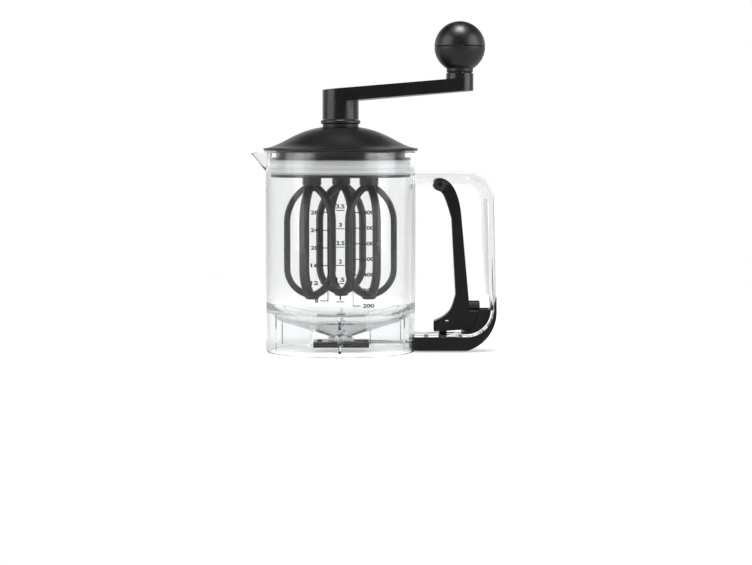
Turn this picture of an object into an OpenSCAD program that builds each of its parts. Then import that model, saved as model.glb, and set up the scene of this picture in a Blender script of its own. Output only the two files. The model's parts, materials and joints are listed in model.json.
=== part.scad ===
// Hand-cranked batter dispenser.
// A clear measuring jug has a pouring spout, and a drain valve in its base that a
// trigger in the handle pulls open. Its plug lid carries a crank, which turns
// three balloon whisks through a sun gear and three planet gears.
// Millimetres, +Z up. The origin is on the jug's axis at the plane it stands on,
// with the handle towards +X and the spout towards -X.

/* [Jug] */
// Outside diameter of the jug
jug_d = 110.2; // [106:0.2:116]
// Height of the jug's rim
jug_h = 147.4; // [142:0.2:160]
// Thickness of the side wall and of the bowl's floor
jug_wall = 2.5; // [2.1:0.1:3]
// Height of the bowl's lowest point, at the outlet
bowl_low_z = 12; // [11.6:0.1:15]
// Slope of the bowl's floor, in degrees
bowl_slope = 18; // [12:1:24]
// Radius where the bowl's floor turns up into the wall
bowl_fillet = 13.4; // [8:0.2:18]
// Diameter of the outlet
outlet_d = 6; // [5:0.1:6.2]
// How far the spout's lip stands out from the wall
spout_reach = 12; // [9:0.5:15]
// Half the width of the spout at the rim
spout_half_w = 12.5; // [10:0.5:15]
// Depth of the spout below the rim
spout_depth = 15.4; // [13:0.2:19]
// Thickness of the spout's wall
spout_wall = 2; // [1.6:0.1:2.4]
// Number of ribs under the bowl
rib_count = 6; // [4:1:10]
// Thickness of a rib
rib_t = 1.8; // [1.2:0.1:2.4]
// Height of the ribs' lower edges
rib_low_z = 3; // [2:0.5:6]

/* [Handle] */
// How far the grip stands out from the jug's wall
handle_reach = 59.1; // [56:0.1:66]
// Distance from the jug's rim down to the handle's top
handle_drop = 14.7; // [12:0.1:20]
// Width of the handle
handle_w = 24; // [22:0.5:28]
// Depth of the channel-shaped bar
bar_depth = 9.3; // [8:0.1:10]
// Thickness of the bar's outer web
web_t = 3.9; // [3.4:0.1:4.4]
// Thickness of the bar's two flanges
flange_t = 2.5; // [2:0.1:2.7]
// Outer radius of the upper corner
upper_corner_r = 20; // [15:0.5:24]
// Outer radius of the lower corner
lower_corner_r = 21.9; // [21:0.1:23]
// Height of the bar's underside
bar_low_z = 9.6; // [9.2:0.1:11]
// Outward lean of the grip, in degrees
grip_lean = 1.3; // [0:0.1:2]
// Height at which the grip's flanges start
flange_low_z = 42; // [40:1:50]

/* [Foot cover] */
// Height of the cover's underside
cover_low_z = 1.2; // [0.6:0.1:2]
// Outer radius of the cover's corner
cover_corner_r = 29.8; // [28:0.1:31]
// Depth that the cover is let into the handle's web
cover_recess = 1.6; // [1:0.1:2]
// Height of the cover's tip
cover_tip_z = 41; // [38:0.5:44]
// Width of the channel that the slide runs in
channel_w = 13; // [12.6:0.1:14]
// Thickness of the cover's bottom
cover_floor = 1.6; // [1.2:0.1:2]

/* [Trigger] */
// Distance from the jug's wall to the trigger's pivot
pivot_out = 17.5; // [15:0.5:20]
// Distance from the handle's top down to the pivot
pivot_drop = 9.4; // [9:0.1:11]
// Width of the trigger
trigger_w = 13; // [11:0.5:13.5]
// Radius of the eye that turns on the pivot pin
eye_r = 4.8; // [4:0.1:5]
// Diameter of the pivot pin
pivot_pin_d = 3.5; // [3:0.1:4]
// Diameter of the link pin
link_pin_d = 3; // [2.4:0.1:3.2]
// Distance from the jug's wall to the link pin
link_out = 20.3; // [19:0.1:21]
// Height of the link pin
link_z = 18.9; // [18.5:0.1:19.5]
// Angle that the trigger swings through, in degrees
trigger_swing = 3.8; // [3.6:0.1:3.9]
// Diameter of the stop bumper
bumper_d = 7.7; // [6:0.1:8]
// Length of the stop bumper beyond the trigger
bumper_len = 8.3; // [6:0.1:9]
// Outside diameter of the return spring
spring_d = 6.4; // [5.5:0.1:6.8]
// Diameter of the spring's wire
spring_wire = 0.8; // [0.6:0.05:1]
// Number of turns in the spring
spring_turns = 6; // [4:1:8]

/* [Valve] */
// Thickness of the gate
gate_t = 2.2; // [1.8:0.1:2.3]
// Width of the gate
gate_w = 20; // [17:0.5:20]
// Diameter of the hole through the gate
gate_hole_d = 6.2; // [6:0.1:6.4]
// Depth of the boss round the outlet below the bowl's lowest point
boss_depth = 3; // [2.9:0.1:3.4]
// How far the outlet's seal stands below its boss
seal_stand = 1.2; // [1:0.1:1.3]
// Thickness of the tray's floor
tray_floor = 1.8; // [1.4:0.1:2]
// Width of the tray's side rails
tray_rail = 2.6; // [2:0.1:3]
// Diameter of the pull rod
rod_d = 2.6; // [2:0.1:2.7]
// Length of the slide's post along the jug's radius
post_len = 5.6; // [5:0.1:6]
// Width of the slide's post
post_w = 5.8; // [5:0.1:6]

/* [Lid] */
// Diameter of the lid's rim
lid_d = 113.6; // [112:0.2:118]
// Thickness of the lid's rim
rim_t = 2.3; // [1.8:0.1:3]
// Height of the dome above the rim
dome_h = 15.2; // [12:0.2:18]
// Radius of the flat on top of the dome
dome_flat_r = 14.2; // [13:0.2:16]
// Thickness of the dome
dome_t = 2.3; // [1.8:0.1:2.8]
// Gap between the plug's tube and the jug's wall, which the gasket fills
plug_gap = 5.2; // [4.8:0.1:6.5]
// Wall of the plug's tube
plug_wall = 2.2; // [1.8:0.1:2.6]
// Depth of the plug below the rim
plug_depth = 19.2; // [18.6:0.1:24]
// Thickness of the plug's base plate
base_t = 2; // [2:0.1:2.8]
// Distance from the plug's tube in to the screws that hold its base plate
lid_screw_inset = 9.2; // [8:0.1:9.6]
// Height of the gasket
gasket_h = 10.5; // [9:0.1:11.5]
// Thickness of the gasket between its ribs
gasket_t = 3.4; // [3:0.1:3.9]
// Number of ribs round the gasket
gasket_ribs = 3; // [2:1:4]
// Thickness of the flange above the gasket
gasket_flange_t = 2; // [1.5:0.1:2.5]
// Diameter of the collar under the crank
collar_d = 29.2; // [27.6:0.2:32]
// Thickness of that collar
collar_t = 2.8; // [2:0.1:3.6]
// Height of the neck between dome and collar
collar_neck_h = 2.4; // [1.5:0.1:3.5]

/* [Crank] */
// Distance from the crank's axis to the knob's
crank_len = 88.5; // [75:0.5:100]
// Angle at which the crank rests, in degrees from the handle
crank_rest = -11.4; // [-180:0.2:180]
// Rise of the arm, in degrees
arm_rise = 4.4; // [0:0.1:8]
// Height of the arm's section
arm_t = 9.5; // [8:0.1:11]
// Diameter of the crank's hub
hub_d = 26.6; // [24:0.2:28]
// Height of the hub at its axis
hub_h = 22.7; // [20:0.1:28]
// Diameter of the boss under the knob
knob_boss_d = 19.9; // [17:0.1:22]
// Height of that boss above the arm
knob_boss_h = 3.8; // [2:0.1:6]
// Diameter of the knob
knob_d = 36.8; // [32:0.2:40]
// Diameter of the knob's neck
knob_neck_d = 19.2; // [16:0.2:21]
// Height of the knob's centre above its neck's lower edge
knob_centre_h = 18.6; // [18:0.1:22]
// Thickness of the knob's shell
knob_shell = 2.6; // [2:0.1:3.2]
// Diameter of the knob's axle
knob_axle_d = 6; // [5:0.1:7]
// Diameter of the crank's shaft
shaft_d = 8; // [7:0.1:9]

/* [Gears] */
// Module of the teeth
gear_module = 1; // [0.95:0.01:1.04]
// Teeth of the sun gear
sun_teeth = 36; // [36:12:36]
// Teeth of a planet gear
planet_teeth = 12; // [12:12:12]
// Width of the gears' faces
gear_face = 6; // [4:0.1:6.5]
// Play between meshing teeth, along the pitch circle
backlash = 0.2; // [0.1:0.02:0.3]

/* [Whisks] */
// Largest radius of a whisk
whisk_r = 20.2; // [17:0.1:20.4]
// Number of tines on each front whisk
tine_count = 5; // [4:1:6]
// Number of tines on the rear whisk
rear_tine_count = 4; // [3:1:5]
// Thickness of a tine across the balloon's surface
tine_t = 4.4; // [3.4:0.1:5]
// Width of a tine along the balloon's surface
tine_w = 5.4; // [4:0.1:6]
// Outer radius of the tine's upper bend
tine_top_r = 32; // [28:0.5:36]
// Outer radius of the tine's lower bend
tine_low_r = 22; // [19:0.5:26]
// Distance from the plug's base plate down to the tine's upper bend
tine_drop = 32.5; // [31:0.5:36]
// Length of the tine's straight part
tine_straight = 34; // [24:1:40]
// Diameter of the whisk's hub
whisk_hub_d = 13.8; // [12:0.1:15]
// Height of the whisk's hub
whisk_hub_h = 9.7; // [8:0.1:11]
// Diameter of the whisk's journal
journal_d = 6; // [5:0.1:7]

/* [Fits] */
// Radial clearance of a pin or shaft that turns in its bore
running_fit = 0.05; // [0.02:0.01:0.1]
// Gap between moving pieces that don't guide each other
free_gap = 0.3; // [0.25:0.05:0.4]
// Gap between faces that slide on each other
slide_gap = 0.1; // [0.05:0.01:0.12]

/* [Hidden] */
$fn = 96;
cut = 1;
jug_r = jug_d / 2;
jug_ri = jug_r - jug_wall;
outlet_r = outlet_d / 2;

// Bowl: a cone from the outlet, and an arc that is tangent to the cone and the wall
bowl_run = jug_ri - outlet_r;
bowl_rise = (bowl_fillet * (1 - sin(bowl_slope)) + bowl_run * sin(bowl_slope)) / cos(bowl_slope);
bowl_rim_z = bowl_low_z + bowl_rise;
bowl_steps = 10;
rib_first = 30;

// Handle: centres of its two corners, joined by the leaning grip
handle_top_z = jug_h - handle_drop;
low_cx = jug_r + handle_reach - lower_corner_r;
low_cz = bar_low_z + lower_corner_r;
up_cz = handle_top_z - upper_corner_r;
up_cx = low_cx - ((up_cz - low_cz) * sin(grip_lean) - (lower_corner_r - upper_corner_r)) / cos(grip_lean);
grip_len = (low_cx - up_cx) * sin(grip_lean) + (up_cz - low_cz) * cos(grip_lean);
inner_corner_r = lower_corner_r - web_t;
seat_corner_r = lower_corner_r - cover_recess;
bar_seat_z = low_cz - seat_corner_r;
bar_floor_z = low_cz - inner_corner_r;
weld_gap = 0.05;
bar_edge_r = 2;
bar_root_r = 1;
corner_lap = 0.5;
corner_inset = 0.01;

// Foot cover
cover_cx = low_cx + lower_corner_r + 0.4 - cover_corner_r;
cover_cz = cover_low_z + cover_corner_r - 1.2;
foot_screw_y = (handle_w / 2 + channel_w / 2) / 2;
foot_screw_x = [jug_r + 8, low_cx - 4];
foot_screw_r = 1.25;
foot_head_r = 2.2;
foot_head_h = 1.5;

// Trigger
pivot_x = jug_r + pivot_out;
pivot_z = handle_top_z - pivot_drop;
link_x = jug_r + link_out;
slide_travel = (pivot_z - link_z) * trigger_swing * PI / 180;
arm_front_z = pivot_z - 25.3;
tail_shift = (pivot_z - low_cz + 8) * trigger_swing * PI / 180;
tail_drop = (low_cx - pivot_x + 8) * trigger_swing * PI / 180;
housing_t = 1;
tail_r = inner_corner_r - housing_t - 0.6;
tail_top_z = low_cz - 1.8;
bumper_z = low_cz + 2.2;
heel_x = low_cx + 2;
spring_z = low_cz - 6.5;
pocket_r = spring_d / 2 + 0.4;
pocket_x = low_cx - 0.3;
spring_gap = 0.1;

// Valve, from the outlet's boss down
boss_low_z = bowl_low_z - boss_depth;
boss_r = 10;
seal_r = 6.9;
seal_bore_r = outlet_r + 1.5;
seal_seat = 0.8;
seal_low_z = boss_low_z - seal_stand;
gate_top_z = seal_low_z - slide_gap;
gate_low_z = gate_top_z - gate_t;
gate_hole_x = -slide_travel;
gate_back_x = -14;
gate_front_x = 20;
tongue_x = 10;
tongue_w = 8;
rod_z = boss_low_z - 1.9;
tongue_top_z = boss_low_z - free_gap;
tray_top_z = gate_low_z - slide_gap;
tray_low_z = tray_top_z - tray_floor;
tray_w = gate_w + 2 * (free_gap + tray_rail);
tray_x0 = -20;
tray_x1 = 21;
tray_screw_y = tray_w / 2 + 3.4;
rib_start_r = sqrt(pow(tray_x1, 2) + pow(tray_w / 2, 2)) + 0.5;
tray_screw_r = 1.2;
ear_r = 3.4;
ear_t = 1.8;
ear_top_z = seal_low_z + 0.2;
post_top_z = link_z + 2.6;
post_low_z = rod_z - 2.6;
strip_x0 = jug_r + 6;
strip_x1 = link_x + 9.6;
strip_w = channel_w - 2 * 0.5;
strip_t = 1.6;
strip_top_z = bar_seat_z - free_gap;

// Lid, from the jug's rim
lid_z = jug_h + free_gap;
rim_top_z = lid_z + rim_t;
dome_top_z = rim_top_z + dome_h;
plug_r = jug_ri - plug_gap;
plug_ri = plug_r - plug_wall;
base_z = lid_z - plug_depth;
base_top_z = base_z + base_t;
gasket_top_z = base_top_z + gasket_h;
gasket_rib_r = jug_ri - free_gap;
flange_r = gasket_rib_r - 0.9;
collar_r = collar_d / 2;
collar_neck_r = collar_r - 1.4;
collar_low_z = dome_top_z + collar_neck_h;
collar_top_z = collar_low_z + collar_t;
bush_r = 9;
bearing_h = 3;
gear_z = base_top_z + bearing_h + 0.5;
washer_t = 1;
bush_low_z = gear_z + gear_face + washer_t + free_gap;
lid_screw_orbit = plug_ri - lid_screw_inset;
lid_screw_r = 1.5;
lid_screw_grip = 8;
lid_post_r = 3.5;
lid_head_r = 2.8;
lid_head_h = 1.2;
shaft_low_z = base_z + 1.6;

// Crank
hub_z = collar_top_z + free_gap;
arm_top_z = hub_z + hub_h;
rise = tan(arm_rise);
shaft_top_z = arm_top_z - arm_t;
knob_boss_z = arm_top_z + crank_len * rise + knob_boss_h;
knob_z = knob_boss_z + 0.6;
knob_cz = knob_z + knob_centre_h;
knob_r = knob_d / 2;
knob_ri = knob_r - knob_shell;
axle_r = knob_axle_d / 2;
axle_grip = 9;
axle_head_z = knob_cz - 3;
axle_head_r = axle_r + 2.2;
axle_head_h = 1.8;
knob_x = crank_len * cos(crank_rest);
knob_y = crank_len * sin(crank_rest);

// Gears and whisks
sun_pitch_r = gear_module * sun_teeth / 2;
planet_pitch_r = gear_module * planet_teeth / 2;
whisk_orbit = sun_pitch_r + planet_pitch_r;
pressure_angle = 20;
flank_steps = 4;
planet_phase = 15;
whisk_angles = [90, 210, 330];
whisk_phases = [27, 36, 0];
whisk_tines = [rear_tine_count, tine_count, tine_count];
whisk_top_z = base_z - free_gap;
tine_top_z = base_z - tine_drop;
tine_low_z = tine_top_z - tine_straight;
tine_chamfer = 1;
journal_r = journal_d / 2;
drive_r = journal_r - 0.5;

black = [0.13, 0.13, 0.14];
soft_black = [0.19, 0.19, 0.2];
clear = [0.86, 0.9, 0.92, 0.4];
silicone = [0.82, 0.84, 0.85, 0.8];
steel = [0.72, 0.73, 0.75];
dark_steel = [0.2, 0.2, 0.21];
white_nylon = [0.9, 0.9, 0.87];

// ---------- helpers ----------

// Points of an arc in the plane, from angle a0 to a1
function arc_points(cx, cy, r, a0, a1, n) =
    [for (i = [0:n]) let (a = a0 + (a1 - a0) * i / n) [cx + r * cos(a), cy + r * sin(a)]];

// A point of the cubic curve with ends p0 and p3 and handles p1 and p2
function curve_point(p0, p1, p2, p3, t) =
    pow(1 - t, 3) * p0 + 3 * t * pow(1 - t, 2) * p1 + 3 * t * t * (1 - t) * p2 + pow(t, 3) * p3;
function curve(p0, p1, p2, p3, n) = [for (i = [0:n]) curve_point(p0, p1, p2, p3, i / n)];

function reverse(list) = [for (i = [len(list) - 1:-1:0]) list[i]];

// Draws a profile of the XZ plane and gives it the width w, centred on Y = 0
module across(w) {
    rotate([90, 0, 0])
        translate([0, 0, -w / 2])
            linear_extrude(height = w) children();
}

// A cylinder along Y, centred on Y = 0
module cross_cylinder(x, z, r, w) {
    translate([x, 0, z]) rotate([90, 0, 0]) cylinder(h = w, r = r, center = true);
}

// A cylinder along +X
module along_cylinder(x, z, r, len) {
    translate([x, 0, z]) rotate([0, 90, 0]) cylinder(h = len, r = r);
}

// A ring about the Z axis
module ring(r_in, r_out, z0, z1) {
    rotate_extrude() translate([r_in, z0]) square([r_out - r_in, z1 - z0]);
}

// Screw with a pan head, its shank pointing up from the head's top at z
module screw(shank_r, shank_len, head_r, head_h, z) {
    translate([0, 0, z]) cylinder(h = shank_len, r = shank_r, $fn = 32);
    translate([0, 0, z - head_h]) cylinder(h = head_h, r1 = head_r * 0.8, r2 = head_r, $fn = 32);
}

// ---------- jug ----------

// The bowl's surface, moved along its normal by d away from the batter
function bowl_curve(d) = concat(
    [[outlet_r - cut, bowl_low_z - d / cos(bowl_slope) - cut * tan(bowl_slope)]],
    arc_points(jug_ri - bowl_fillet, bowl_rim_z, bowl_fillet + d, bowl_slope - 90, 0, bowl_steps)
);

module jug_wall_shape() {
    lip = jug_wall / 2;
    rotate_extrude()
        polygon(concat(
            [[jug_ri, 0.6], [jug_ri + 0.6, 0], [jug_r - 0.6, 0], [jug_r, 0.6]],
            arc_points(jug_r - lip, jug_h - lip, lip, 0, 180, 8)
        ));
}

module bowl_shape() {
    rotate_extrude() polygon(concat(bowl_curve(0), reverse(bowl_curve(jug_wall))));
}

// One rib: a plate under the bowl, from near the outlet to the wall
module rib_shape() {
    middle = bowl_curve(jug_wall / 2);
    inner_z = bowl_low_z + (rib_start_r - outlet_r) * tan(bowl_slope) - jug_wall / 2 / cos(bowl_slope);
    under = [for (p = middle) if (p[0] > rib_start_r) p];
    across(rib_t)
        polygon(concat(
            [[rib_start_r, rib_low_z + 3], [rib_start_r + 3, rib_low_z], [jug_ri + 0.5, rib_low_z]],
            reverse(under),
            [[rib_start_r, inner_z]]
        ));
}

// The spout is a steep cone that the wall cuts through
module spout_cone(inset) {
    slope = spout_half_w / spout_depth;
    low_z = jug_h - spout_depth + inset / slope;
    extra = 2;
    translate([-(jug_r + spout_reach - spout_half_w), 0, low_z])
        cylinder(h = jug_h + extra - low_z, r1 = 0, r2 = (jug_h + extra - low_z) * slope);
}

// The wall, from the table to the rim, with its spout
module jug() {
    spout_skin = spout_wall * sqrt(1 + pow(spout_half_w / spout_depth, 2));
    lip_fall = 8.5;
    color(clear)
    difference() {
        union() {
            jug_wall_shape();
            intersection() {
                spout_cone(0);
                translate([-jug_d, -jug_d / 2, 0]) cube([jug_d, jug_d, jug_h]);
            }
        }
        translate([0, 0, bowl_rim_z]) cylinder(h = jug_h, r = jug_ri);
        spout_cone(spout_skin);
        // The lip falls towards the spout's tip
        translate([-(jug_r + 1.5), 0, jug_h])
            rotate([0, -lip_fall, 0])
                translate([-40, -40, 0]) cube([40, 80, 20]);
        along_cylinder(jug_ri - 3, rod_z, rod_d / 2 + free_gap, 12);
    }
}

// The bowl inside the wall, with the outlet's boss and the ribs under it
module jug_bowl() {
    color(clear)
    difference() {
        intersection() {
            union() {
                bowl_shape();
                translate([0, 0, boss_low_z]) cylinder(h = boss_depth + 1, r = boss_r);
                for (i = [0:rib_count - 1])
                    rotate([0, 0, rib_first + i * (360 - 2 * rib_first) / (rib_count - 1)]) rib_shape();
                for (side = [-1, 1])
                    translate([0, side * tray_screw_y, ear_top_z])
                        cylinder(h = bowl_low_z - ear_top_z + tray_screw_y * tan(bowl_slope) - 2, r = 3);
            }
            cylinder(h = jug_h, r = jug_ri);
        }
        // Room for the batter
        rotate_extrude()
            polygon(concat(bowl_curve(0), [[jug_ri, jug_h + 5], [outlet_r - cut, jug_h + 5]]));
        translate([0, 0, boss_low_z - cut]) cylinder(h = 20, r = outlet_r);
        ring(seal_bore_r, seal_r, boss_low_z - cut, boss_low_z + seal_seat);
        for (side = [-1, 1])
            translate([0, side * tray_screw_y, ear_top_z - cut]) cylinder(h = 5, r = tray_screw_r);
    }
}

// ---------- handle ----------

// Cross-section of the bar: x is the distance from a corner's centre, with the
// outer face at r, and y runs across the handle. Each face lies in by the inset.
module bar_section(r, inset) {
    half = handle_w / 2 - inset;
    in_half = handle_w / 2 - flange_t + inset;
    edge_x = r - bar_depth + inset;
    root_x = r - web_t + inset;
    right = concat(
        arc_points(r - inset - bar_edge_r, half - bar_edge_r, bar_edge_r, 0, 90, 5),
        [[edge_x, half], [edge_x, in_half]],
        reverse(arc_points(root_x - bar_root_r, in_half - bar_root_r, bar_root_r, 0, 90, 4))
    );
    polygon(concat(right, [for (p = reverse(right)) [p[0], -p[1]]]));
}

// Cross-section of the bare web
module web_section(r, inset) {
    half = handle_w / 2 - inset;
    right = concat(
        arc_points(r - inset - bar_edge_r, half - bar_edge_r, bar_edge_r, 0, 90, 5),
        [[r - web_t + inset, half]]
    );
    polygon(concat(right, [for (p = reverse(right)) [p[0], -p[1]]]));
}

module upper_corner_frame() {
    translate([up_cx, 0, up_cz]) rotate([90, 0, 0]) children();
}

module lower_corner_frame() {
    translate([low_cx, 0, low_cz]) rotate([90, 0, 0]) children();
}

// Side view of the seat that the handle and the foot cover share
function seat_points(x0) = concat(
    [[x0, bar_seat_z]],
    arc_points(low_cx, low_cz, seat_corner_r, -90, 0, 16),
    [[low_cx + seat_corner_r, low_cz + 3], [low_cx + lower_corner_r - 0.2, cover_tip_z]]
);

// Side view of all that lies outside the seat
module outside_seat() {
    far = low_cx + 2 * lower_corner_r;
    polygon(concat(seat_points(0), [[far, cover_tip_z], [far, -lower_corner_r], [0, -lower_corner_r]]));
}

// Lugs that carry the pivot pin, one on each flange
module pivot_lugs() {
    lug_r = 4.6;
    for (side = [-1, 1])
        translate([0, side * (handle_w / 2 - flange_t / 2), 0]) {
            cross_cylinder(pivot_x, pivot_z, lug_r, flange_t);
            across(flange_t)
                translate([pivot_x - lug_r, pivot_z]) square([2 * lug_r, pivot_drop - web_t]);
        }
}

module handle() {
    slot_play = 0.6;
    color(clear)
    difference() {
        union() {
            // Top run and upper corner
            upper_corner_frame()
                rotate([0, 0, 90]) rotate([-90, 0, 0])
                    linear_extrude(height = up_cx - jug_r + 8) bar_section(upper_corner_r, 0);
            upper_corner_frame()
                rotate([0, 0, 90]) mirror([0, 1, 0])
                    rotate_extrude(angle = 90 - grip_lean) bar_section(upper_corner_r, 0);
            // Grip: it runs a little way into both corners, where its faces lie just inside theirs
            upper_corner_frame()
                rotate([0, 0, grip_lean]) rotate([90, 0, 0])
                    translate([0, 0, -corner_lap])
                        linear_extrude(height = grip_len - (flange_low_z - low_cz) + corner_lap)
                            bar_section(upper_corner_r, corner_inset);
            upper_corner_frame()
                rotate([0, 0, grip_lean]) rotate([90, 0, 0])
                    translate([0, 0, -corner_lap])
                        linear_extrude(height = grip_len + 2 * corner_lap)
                            web_section(upper_corner_r, corner_inset);
            // Lower corner and bottom run
            lower_corner_frame()
                rotate([0, 0, -90]) rotate_extrude(angle = 90 + grip_lean) web_section(lower_corner_r, 0);
            lower_corner_frame()
                rotate([0, 0, -90]) rotate([90, 0, 0])
                    linear_extrude(height = low_cx - jug_r + 8) web_section(lower_corner_r, 0);
            pivot_lugs();
        }
        cylinder(h = 2 * jug_h, r = jug_r + weld_gap, $fn = 180);
        across(handle_w + 2) outside_seat();
        cross_cylinder(pivot_x, pivot_z, pivot_pin_d / 2, handle_w + 2);
        // Slot for the slide's post
        translate([link_x - post_len / 2 - slot_play, -post_w / 2 - slot_play, bar_seat_z - cut])
            cube([post_len + slide_travel + 2 * slot_play, post_w + 2 * slot_play, web_t + 2]);
        for (x = foot_screw_x, side = [-1, 1])
            translate([x, side * foot_screw_y, bar_seat_z - cut]) cylinder(h = web_t + 2, r = foot_screw_r);
    }
}

// ---------- foot ----------

module cover_profile() {
    kink = asin((cover_low_z - cover_cz) / cover_corner_r);
    x0 = jug_r - 5;
    polygon(concat(
        seat_points(x0),
        [[low_cx + lower_corner_r + 0.2, cover_tip_z - 0.6]],
        arc_points(cover_cx, cover_cz, cover_corner_r, 0, kink, 16),
        [[x0, cover_low_z]]
    ));
}

module foot_cover() {
    color(black)
    difference() {
        across(handle_w) cover_profile();
        cylinder(h = low_cz, r = jug_r + weld_gap, $fn = 180);
        // Channel that the slide runs in, open towards the bar
        translate([0, -channel_w / 2, cover_low_z + cover_floor])
            cube([strip_x1 + slide_travel + 1, channel_w, low_cz]);
        for (x = foot_screw_x, side = [-1, 1])
            translate([x, side * foot_screw_y, 0]) {
                cylinder(h = low_cz, r = foot_screw_r);
                cylinder(h = cover_low_z + foot_head_h + 0.4, r = foot_head_r + 0.3);
            }
    }
}

module foot_screws() {
    color(steel)
    for (x = foot_screw_x, side = [-1, 1])
        translate([x, side * foot_screw_y, 0])
            screw(foot_screw_r, bar_floor_z - cover_low_z - foot_head_h - 0.9, foot_head_r, foot_head_h,
                cover_low_z + foot_head_h + 0.4);
}

// Side view of the housing's two cheeks
module cheek_profile() {
    intersection() {
        translate([low_cx, low_cz]) circle(r = inner_corner_r);
        translate([low_cx, low_cz])
            polygon([
                [-3.3, -20], [-3.3, -16.9], [3.7, -15], [6.7, -10.5], [9.4, -4.5], [9.4, 0],
                [20, 0], [20, -20]
            ]);
    }
}

module spring_housing() {
    cheek_w = 2.2;
    cheek_in = trigger_w / 2 + 2 * free_gap;
    color(black)
    union() {
        across(2 * (cheek_in + cheek_w))
            intersection() {
                cheek_profile();
                difference() {
                    translate([low_cx, low_cz]) circle(r = inner_corner_r);
                    translate([low_cx, low_cz]) circle(r = inner_corner_r - housing_t);
                }
            }
        for (side = [-1, 1])
            translate([0, side * (cheek_in + cheek_w / 2), 0]) across(cheek_w) cheek_profile();
    }
}

// ---------- trigger ----------

// Side view of the trigger: a hook from the pivot, the finger arm, and the lower
// body with its toe over the slide's post and its tail in the spring housing
module trigger_profile() {
    eye = [pivot_x, pivot_z];
    top_out = eye + [0, eye_r];
    top_in = eye + [-0.6, -eye_r];
    arm_out = [eye[0] + 16.3, arm_front_z];
    arm_in = [eye[0] + 9, arm_front_z];
    toe_x = link_x - 6.9;
    toe_z = link_z + 3.7;
    heel_z = bumper_z + bumper_d / 2 + 0.5;
    knee = [link_x + 9.2, low_cz + 10.5];
    polygon(concat(
        curve(top_out, eye + [6.9, eye_r], eye + [14.9, -3.3], arm_out, 10),
        [[heel_x - 0.2, heel_z + 3], [heel_x, heel_z], [heel_x, tail_top_z]],
        arc_points(low_cx - tail_shift, low_cz - tail_drop, tail_r, 0, -52, 6),
        [[link_x + 2.8, link_z - 3.4], [toe_x + 0.6, link_z - 3.8], [toe_x, link_z - 3.2], [toe_x, toe_z]],
        reverse(curve(knee, knee + [-2.6, -9], [link_x + 6.1, link_z + 8.6], [toe_x + 0.4, toe_z + 0.1], 8)),
        reverse(curve(top_in, eye + [2.9, -5.3], eye + [4.9, -10.8], arm_in, 8))
    ));
}

module trigger() {
    slot_w = post_w + 0.8;
    slot_x = post_len / 2 + 1;
    color(soft_black)
    difference() {
        union() {
            across(trigger_w) trigger_profile();
            cross_cylinder(pivot_x, pivot_z, eye_r, handle_w - 2 * flange_t - 2 * free_gap);
        }
        cross_cylinder(pivot_x, pivot_z, pivot_pin_d / 2 + running_fit, handle_w);
        cross_cylinder(link_x, link_z, link_pin_d / 2, handle_w);
        // Fork over the slide's post, and the window above it
        translate([link_x - slot_x, -slot_w / 2, 0]) cube([2 * slot_x, slot_w, post_top_z + 0.7]);
        translate([link_x + 1.6, -handle_w / 2, post_top_z + 0.4]) cube([2.6, handle_w, 1.5]);
        // Pocket of the return spring, and seat of the bumper's stem
        along_cylinder(pocket_x, spring_z, pocket_r, 20);
        along_cylinder(heel_x - 4, bumper_z, bumper_d / 5, 5);
    }
}

module pivot_pin() {
    color(dark_steel) cross_cylinder(pivot_x, pivot_z, pivot_pin_d / 2, handle_w - 0.6);
}

module link_pin() {
    color(dark_steel) cross_cylinder(link_x, link_z, link_pin_d / 2, trigger_w - 0.4);
}

// Soft buffer that meets the grip when the trigger is fully squeezed
module stop_bumper() {
    r = bumper_d / 2;
    soft = 1.4;
    color(black)
    translate([heel_x, 0, bumper_z])
        rotate([0, 90, 0])
            rotate_extrude()
                polygon(concat(
                    [[0, -3.8], [bumper_d / 5, -3.8], [bumper_d / 5, 0], [r, 0]],
                    arc_points(r - soft, bumper_len - soft, soft, 0, 90, 6),
                    [[0, bumper_len]]
                ));
}

// The spring's wire: rings of points along a helix about the X axis
module return_spring() {
    sides = 6;
    per_turn = 14;
    housing_r = inner_corner_r - housing_t;
    low_edge = low_cz - spring_z + spring_d / 2;
    x0 = pocket_x + spring_gap + spring_wire / 2;
    x1 = low_cx + sqrt(pow(housing_r, 2) - pow(low_edge, 2)) - spring_gap - spring_wire / 2;
    coil_r = (spring_d - spring_wire) / 2;
    steps = spring_turns * per_turn;
    points = [
        for (i = [0:steps], k = [0:sides - 1])
            let (a = 360 * i / per_turn, b = 360 * k / sides, r = coil_r + spring_wire / 2 * cos(b))
                [x0 + (x1 - x0) * i / steps + spring_wire / 2 * sin(b), r * cos(a), r * sin(a)]
    ];
    sides_faces = [
        for (i = [0:steps - 1], k = [0:sides - 1])
            let (k2 = (k + 1) % sides)
                [i * sides + k, i * sides + k2, (i + 1) * sides + k2, (i + 1) * sides + k]
    ];
    start_face = [for (k = [sides - 1:-1:0]) k];
    end_face = [for (k = [0:sides - 1]) steps * sides + k];
    color(steel)
    translate([0, 0, spring_z])
        polyhedron(points = points, faces = concat(sides_faces, [start_face, end_face]));
}

// ---------- drain valve ----------

module outlet_seal() {
    soft = 0.4;
    color(silicone)
    rotate_extrude()
        polygon([
            [seal_bore_r + soft, seal_low_z], [seal_r - soft, seal_low_z], [seal_r, seal_low_z + soft],
            [seal_r, boss_low_z + seal_seat], [seal_bore_r, boss_low_z + seal_seat],
            [seal_bore_r, seal_low_z + soft]
        ]);
}

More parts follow.
